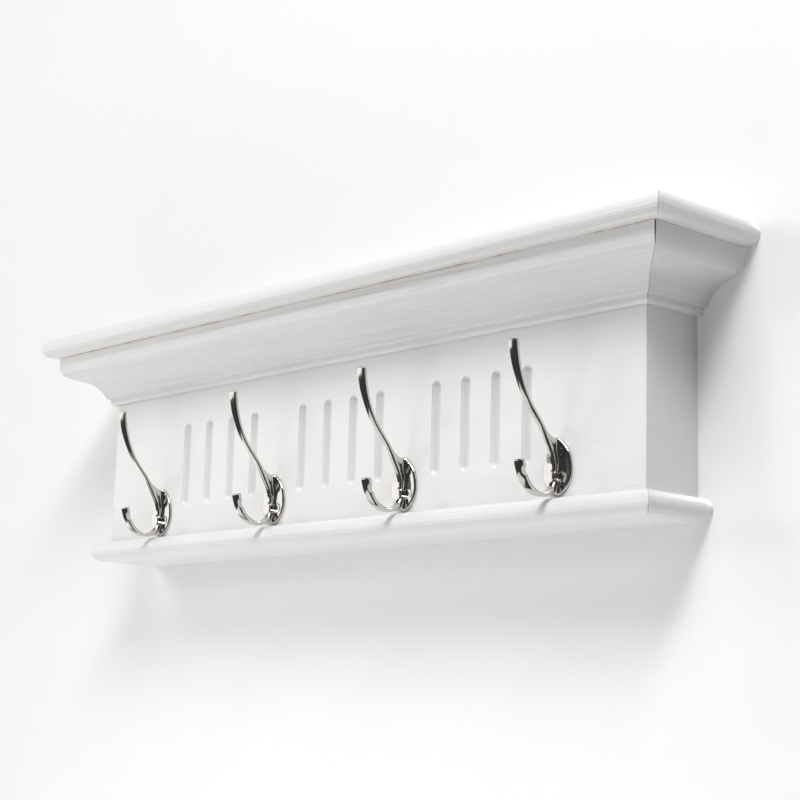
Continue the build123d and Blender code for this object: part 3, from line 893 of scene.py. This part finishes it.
upper_arm, lower_arm = Arm(UPPER_ROUTE, UPPER_SECTIONS), Arm(LOWER_ROUTE, LOWER_SECTIONS)
print("arm lengths in mm:", round(upper_arm.length[-1], 1), round(lower_arm.length[-1], 1))


# %% The hook's distance field
def polygon_distance(px, py, outline):
    """Signed distance to a closed polygon, negative inside."""
    best = np.full(px.shape, 1e9)
    inside = np.zeros(px.shape, bool)
    for (ax, ay), (bx, by) in zip(outline, np.roll(outline, -1, 0)):
        ex, ey, wx, wy = bx - ax, by - ay, px - ax, py - ay
        t = np.clip((wx * ex + wy * ey) / (ex * ex + ey * ey), 0, 1)
        best = np.minimum(best, (wx - ex * t) ** 2 + (wy - ey * t) ** 2)
        crosses = (ay > py) != (by > py)
        with np.errstate(divide="ignore", invalid="ignore"):
            inside ^= crosses & (px < ex * (py - ay) / (by - ay) + ax)
    return np.where(inside, -1, 1) * np.sqrt(best)


def soft_min(a, b, radius):
    """The smaller distance, blended where both are near."""
    blend = np.clip(0.5 + 0.5 * (b - a) / radius, 0, 1)
    return b + (a - b) * blend - radius * blend * (1 - blend)


def plate_outline():
    right = [(0, PLATE_ENDS[0]), *PLATE_SIDE, (0, PLATE_ENDS[1])]
    ring = np.array(right + [(-x, y) for x, y in reversed(right[1:-1])], float)
    closed = np.vstack([ring[-4:], ring, ring[:4]])
    line, _ = smooth_line(closed, 420)
    angle = np.unwrap(np.arctan2(line[:, 0], line[:, 1]))
    start = angle[0] + 0.6
    return line[(angle >= start) & (angle < start + 2 * math.pi)]


PLATE_LINE = plate_outline()


def plate_distance(rim, across, out):
    """Plate whose two halves fall away from the middle and are dished inside a rolled rim."""
    inset = np.clip((-rim - 1.2) / 4.6, 0, 1)
    dish = DISH * inset**2 * (3 - 2 * inset)
    fall = PLATE_FALL * np.sqrt(across**2 + 4)
    return rounded_meeting(rim, out - (PLATE_THICK + PLATE_CROWN - dish - fall), PLATE_CORNER)


def hook_field(across, out, up, rim=None, upper=None, lower=None, web=None, heel=None):
    """Signed distance to the casting at points given across, out from the panel and up, in mm."""
    rim = polygon_distance(across, up, PLATE_LINE) if rim is None else rim
    upper = upper_arm.local(out, up) if upper is None else upper
    lower = lower_arm.local(out, up) if lower is None else lower
    web = polygon_distance(out, up, WEB) if web is None else web
    heel = polygon_distance(out, up, HEEL) if heel is None else heel
    arms = soft_min(upper_arm.distance(across, upper), lower_arm.distance(across, lower), ARM_BLEND)
    for slab, half in ((web, WEB_HALF), (heel, HEEL_HALF)):
        arms = soft_min(arms, rounded_meeting(slab, np.abs(across) - half, WEB_CORNER), WEB_BLEND)
    body = soft_min(arms, plate_distance(rim, across, out), PLATE_BLEND)
    for sx, sz in SCREW_SPOTS:
        radius = np.hypot(across - sx, up - sz)
        seat = (radius - SEAT_RADIUS) * 0.8 + (PLATE_THICK - out) * 0.62
        body = np.maximum(body, -np.maximum(seat, radius - SEAT_RADIUS))
    return np.maximum(body, -out)


print("plate outline points:", len(PLATE_LINE))


# %% Draw the skin over the field
def field_grid(low, high, cell):
    """The hook's field on a lattice; each part's share depends on two of the axes only."""
    axes = [np.arange(a - 1.5 * cell, b + 1.5 * cell, cell) for a, b in zip(low, high)]
    across, out, up = np.meshgrid(*axes, indexing="ij", sparse=True)
    out2, up2 = np.meshgrid(axes[1], axes[2], indexing="ij")
    upper = tuple(v[None] for v in upper_arm.local(out2, up2))
    lower = tuple(v[None] for v in lower_arm.local(out2, up2))
    web, heel = (polygon_distance(out2, up2, np.array(shape, float))[None] for shape in (WEB, HEEL))
    across2, up3 = np.meshgrid(axes[0], axes[2], indexing="ij")
    rim = polygon_distance(across2, up3, PLATE_LINE)[:, None, :]
    return axes, hook_field(across, out, up, rim, upper, lower, web, heel)


def skin_of(axes, field):
    """One point in each lattice cell that the surface crosses, joined by quads."""
    inside = field < 0
    shape = np.array(field.shape) - 1
    cell_sum = np.zeros((*shape, 3))
    hits = np.zeros(shape)
    corners = [(i, j, k) for i in (0, 1) for j in (0, 1) for k in (0, 1)]
    for a in corners:
        for axis in range(3):
            if a[axis]:
                continue
            b = list(a)
            b[axis] = 1
            sa = tuple(slice(a[d], a[d] + shape[d]) for d in range(3))
            sb = tuple(slice(b[d], b[d] + shape[d]) for d in range(3))
            fa, fb = field[sa], field[sb]
            cross = inside[sa] != inside[sb]
            share = np.where(cross, fa / np.where(cross, fa - fb, 1), 0)
            for d in range(3):
                cell_sum[..., d] += cross * (a[d] + (share if d == axis else 0))
            hits += cross
    used = hits > 0
    index = np.full(shape, -1)
    index[used] = np.arange(used.sum())
    cells = np.argwhere(used)
    local = cell_sum[used] / hits[used][:, None]
    step = [ax[1] - ax[0] for ax in axes]
    points = np.stack([axes[d][0] + (cells[:, d] + local[:, d]) * step[d] for d in range(3)], 1)
    quads = []
    for axis in range(3):
        u, v = [d for d in range(3) if d != axis]
        lo = tuple(slice(1, -1) if d != axis else slice(0, -1) for d in range(3))
        hi = tuple(slice(1, -1) if d != axis else slice(1, None) for d in range(3))
        where = np.argwhere(inside[lo] != inside[hi])
        flip = inside[lo][tuple(where.T)]
        base = where.copy()
        base[:, u] += 1
        base[:, v] += 1
        ring = []
        for du, dv in ((-1, -1), (0, -1), (0, 0), (-1, 0)):
            spot = base.copy()
            spot[:, u] += du
            spot[:, v] += dv
            ring.append(index[tuple(spot.T)])
        ring = np.stack(ring, 1)
        turned = flip if axis != 1 else ~flip
        quads.append(np.where(turned[:, None], ring, ring[:, ::-1]))
    return points, np.vstack(quads)


def slope_at(points, reach=0.04):
    """The field and its slope at loose points."""
    value = hook_field(*points.T)
    slope = np.zeros_like(points)
    for d in range(3):
        step = np.zeros(3)
        step[d] = reach
        slope[:, d] = (hook_field(*(points + step).T) - hook_field(*(points - step).T)) / (2 * reach)
    return value, slope


FIELD_LOW, FIELD_HIGH = (-16, -0.5, -25.5), (16, 57, 95.5)


def cast_hook(cell):
    axes, field = field_grid(FIELD_LOW, FIELD_HIGH, cell)
    points, quads = skin_of(axes, field)
    for _ in range(3):
        value, slope = slope_at(points)
        size = np.maximum((slope**2).sum(1, keepdims=True), 0.2)
        points = points - np.clip(value[:, None] * slope / size, -0.5 * cell, 0.5 * cell)
    _, slope = slope_at(points, 0.12)
    normals = slope / np.maximum(np.linalg.norm(slope, axis=1, keepdims=True), 1e-9)
    forward = np.array([1, -1, 1])
    place, turn_normals = points * forward * MM, normals * forward
    mesh = bpy.data.meshes.new("cast_hook")
    mesh.from_pydata(place.tolist(), [], quads.tolist())
    mesh.validate()
    facing = sum(p.normal.dot(Vector(turn_normals[p.vertices[0]])) for p in mesh.polygons)
    if facing < 0:
        mesh.flip_normals()
    mesh.shade_smooth()
    mesh.normals_split_custom_set_from_vertices([tuple(n) for n in turn_normals])
    mesh.materials.append(NICKEL)
    return mesh


HOOK_CELL = 0.55
hook_mesh = cast_hook(HOOK_CELL)
PLATE_MIDDLE = 43.2 * MM
for number in range(1, 5):
    low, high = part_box(f"hook_{number}")
    hook = bpy.data.objects.new(f"cast_hook_{number}", hook_mesh)
    hook.location = ((low.x + high.x) / 2, -FACE, BASE + PLATE_MIDDLE)
    bpy.context.scene.collection.objects.link(hook)
    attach(hook, "root")
    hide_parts(f"hook_{number}")
print("hook quads:", len(hook_mesh.polygons))


# %% [markdown]
# ## Finishes for the frame's own nodes
# The screws, hangers and hidden rails have the right shape already, so they stay and only
# take a finish.

# %% Dress the carried-over nodes
def dress(node, material):
    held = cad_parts[node]
    held.data.materials.clear()
    held.data.materials.append(material)


for node in ("hanging_rail", "lower_rail", "top_cleat", "bottom_cleat"):
    dress(node, PINE["X"])
for node in ("corner_block_left", "corner_block_right"):
    dress(node, PINE["Z"])
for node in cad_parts:
    if node.startswith("hook_screw_"):
        dress(node, SCREW_NICKEL)
    elif node.startswith("hanger_") or node.endswith("_cleat_screws"):
        dress(node, ZINC)
print("dressed", sum(not o.hide_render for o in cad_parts.values()), "frame nodes")


# %% [markdown]
# ## The wall and the floor
# The rack hangs on a plain pale wall over a pale floor. The wall has one face only: seen from
# the front it is solid, and from behind it is left out so that the rack's back can be seen.

# %% Wall and floor
def stage_sheet(name, corners, material):
    skin = bmesh.new()
    skin.faces.new([skin.verts.new(c) for c in corners])
    bmesh.ops.subdivide_edges(skin, edges=skin.edges[:], cuts=3, use_grid_fill=True)
    mesh = bpy.data.meshes.new(name)
    skin.to_mesh(mesh)
    skin.free()
    mesh.materials.append(material)
    made = bpy.data.objects.new(name, mesh)
    bpy.context.scene.collection.objects.link(made)
    return made


def plaster(name, colour, one_sided):
    finish = Finish(name, Roughness=0.85, Specular_IOR_Level=0.15)
    cloud = finish.noise((3.0, 3.0, 3.0), 2.0, 0.5, 1.0)
    finish.paint("Base Color", finish.mix(cloud, tinted(colour), tinted(colour, 0.985)))
    finish.relief(finish.noise((700.0, 700.0, 700.0), 2.0, 0.5, 2.0), 0.1 * MM)
    if one_sided:
        behind = finish.node("ShaderNodeNewGeometry", {}, {}, "Backfacing")
        clear = finish.node("ShaderNodeBsdfTransparent", {}, {})
        solid = Wire(finish, finish.shader.outputs[0])
        shown = finish.node("ShaderNodeMixShader", {}, {0: behind, 1: solid, 2: clear})
        output = next(n for n in finish.tree.nodes if n.type == "OUTPUT_MATERIAL")
        finish.tree.links.new(shown.socket, output.inputs[0])
    return finish.material


WALL_BACK = 0.6 * MM
WALL_HALF, WALL_TOP = 2.2, 1.4
FLOOR_HALF, FLOOR_NEAR, FLOOR_FAR, FLOOR_Z = 3.0, -3.5, 2.5, -1.3
wall_corners = [
    (-WALL_HALF, WALL_BACK, FLOOR_Z), (WALL_HALF, WALL_BACK, FLOOR_Z),
    (WALL_HALF, WALL_BACK, WALL_TOP), (-WALL_HALF, WALL_BACK, WALL_TOP),
]
floor_corners = [
    (-FLOOR_HALF, FLOOR_NEAR, FLOOR_Z), (FLOOR_HALF, FLOOR_NEAR, FLOOR_Z),
    (FLOOR_HALF, FLOOR_FAR, FLOOR_Z), (-FLOOR_HALF, FLOOR_FAR, FLOOR_Z),
]
wall = stage_sheet("wall", wall_corners, plaster("wall_plaster", (0.88, 0.88, 0.88), True))
floor = stage_sheet("floor", floor_corners, plaster("floor_pale", (0.78, 0.78, 0.775), False))
floor.visible_glossy = False
print("stage: wall and floor")

# %% [markdown]
# ## Light
# Four soft boxes high at the right model the crown and shade its underside, and two at the
# left throw the hooks' faint shadows over the panel. Wide dim fills from below and in front
# open the shadows. Only the four high boxes and the cards show in the nickel: the fills and
# the floor are kept out of mirrors, so the metal shows white shapes in a dark room.

# %% Lamps
RACK_MIDDLE = Vector((0, -0.06, -0.06))
COOL, PLAIN, WARM = (0.985, 0.985, 1.0), (1.0, 0.99, 0.99), (1.0, 0.98, 0.955)


def soft_box(name, turn, lift, distance, size, power, tint=WARM, mirrored=False):
    """A lamp facing the rack, at a turn to the right of straight out and a lift, in degrees."""
    turn, lift = math.radians(turn), math.radians(lift)
    towards = Vector((math.sin(turn) * math.cos(lift), -math.cos(turn) * math.cos(lift), math.sin(lift)))
    lamp = bpy.data.lights.new(name, "AREA")
    lamp.shape = "RECTANGLE"
    lamp.size, lamp.size_y = size
    lamp.energy = power
    lamp.color = tint
    made = bpy.data.objects.new(name, lamp)
    bpy.context.scene.collection.objects.link(made)
    made.location = RACK_MIDDLE + towards * distance
    made.rotation_mode = "QUATERNION"
    made.rotation_quaternion = towards.to_track_quat("Z", "Y")
    made.visible_glossy = mirrored
    return made


soft_box("box_key_right", 50, 47, 2.2, (0.5, 0.5), 20.5, COOL, True)
soft_box("box_key_middle", 33, 42, 2.2, (0.4, 0.4), 9.8, COOL, True)
soft_box("box_key_high", 25, 52, 2.2, (0.4, 0.4), 5.5, COOL, True)
soft_box("box_key_front", 15, 42, 2.2, (0.4, 0.4), 2.7, COOL, True)
soft_box("box_left", -41, 11.7, 2.4, (0.5, 0.5), 8.6, PLAIN)
soft_box("box_left_high", -50, 28, 2.2, (0.8, 0.7), 9.5, PLAIN)
soft_box("fill_front", -5, 8, 2.6, (2.4, 1.8), 7.2, PLAIN)
soft_box("fill_under", 0, -60, 1.2, (0.8, 0.8), 1.0)
soft_box("fill_sill", 20, -80, 0.9, (1.6, 0.4), 0.9)

# %% [markdown]
# ## Lamps for some pieces only
# A lamp can be told which objects it lights and which ones block it. The low fills come in
# pairs: one for the rack, and one for the wall that nothing blocks, so that no shadow climbs
# the wall above the crown. Cards are seen by the hooks alone: a mirror shows what it faces,
# so a bright card turns an edge white and the gaps between cards leave dark bands. Two lamps
# behind light the back and the floor for anyone who walks round.

# %% What each linked lamp lights
def gathered(name, members):
    """A collection outside the scene, used only to say what a lamp lights or is blocked by."""
    held = bpy.data.collections.new(name)
    for member in members:
        held.objects.link(member)
    return held


def lights_only(lamp, receivers, blockers=None):
    lamp.light_linking.receiver_collection = receivers
    lamp.light_linking.blocker_collection = blockers


rack_pieces = [o for o in bpy.context.scene.objects if o.type == "MESH" and o not in (wall, floor)]
hook_pieces = [o for o in rack_pieces if o.name.startswith(("cast_hook_", "hook_screw_"))]
only_rack, only_hooks = gathered("only_rack", rack_pieces), gathered("only_hooks", hook_pieces)
only_wall, only_floor = gathered("only_wall", [wall]), gathered("only_floor", [floor])
print("rack pieces:", len(rack_pieces), "of which on the hooks:", len(hook_pieces))

# %% Linked lamps
for name, turn, lift, distance, size, on_rack, on_wall in (
    ("fill_low_front", -20, -35, 1.9, (0.8, 0.8), 7.4, 4.2),
    ("fill_low_left", -56, -30, 1.7, (1.2, 1.0), 5.0, 3.3),
):
    lights_only(soft_box(name, turn, lift, distance, size, on_rack), only_rack)
    lights_only(soft_box(name + "_wall", turn, lift, distance, size, on_wall), only_wall, only_floor)

for name, turn, lift, distance, size, glow in (
    ("card_left", -64, 16, 2.0, (1.95, 1.15), 1.45),
    ("card_far_left", -84, -12, 2.0, (0.9, 1.4), 1.2),
    ("card_low_left", -62, -42, 1.7, (1.1, 0.8), 1.0),
    ("card_top", 20, 68, 2.0, (2.4, 1.2), 0.7),
):
    power = glow * math.pi * size[0] * size[1]
    lights_only(soft_box(name, turn, lift, distance, size, power, PLAIN, True), only_hooks)

lights_only(soft_box("wash_right", 75, -40, 1.2, (0.6, 0.6), 1.5), only_wall, only_floor)
lights_only(soft_box("wash_under", 10, -66, 0.8, (1.2, 0.4), 1.2), only_wall, only_floor)
let_through = gathered("let_through", [wall])
let_through.collection_objects[0].light_linking.link_state = "EXCLUDE"
lights_only(soft_box("box_behind", 180, 25, 2.2, (0.6, 0.6), 12.0, PLAIN, True), None, let_through)
lights_only(soft_box("box_behind_floor", 180, 45, 2.6, (1.6, 1.6), 110.0, PLAIN), only_floor)

# %% [markdown]
# ## The room
# The room is pale to look at but nearly dark to a mirror, and lights nothing by itself.

# %% Room
MIRRORED_ROOM = 0.055
room = bpy.data.worlds.new("room")
bpy.context.scene.world = room
room.use_nodes = True
background = next(n for n in room.node_tree.nodes if n.type == "BACKGROUND")
background.inputs["Color"].default_value = tinted((0.93, 0.93, 0.93))
seen = room.node_tree.nodes.new("ShaderNodeLightPath")
level = room.node_tree.nodes.new("ShaderNodeMath")
level.operation = "MULTIPLY_ADD"
level.inputs[1].default_value = MIRRORED_ROOM
room.node_tree.links.new(seen.outputs["Is Glossy Ray"], level.inputs[0])
room.node_tree.links.new(seen.outputs["Is Camera Ray"], level.inputs[2])
room.node_tree.links.new(level.outputs[0], background.inputs["Strength"])
bpy.context.scene.view_settings.view_transform = "Standard"
print("room: pale to look at, dark to its mirrors")
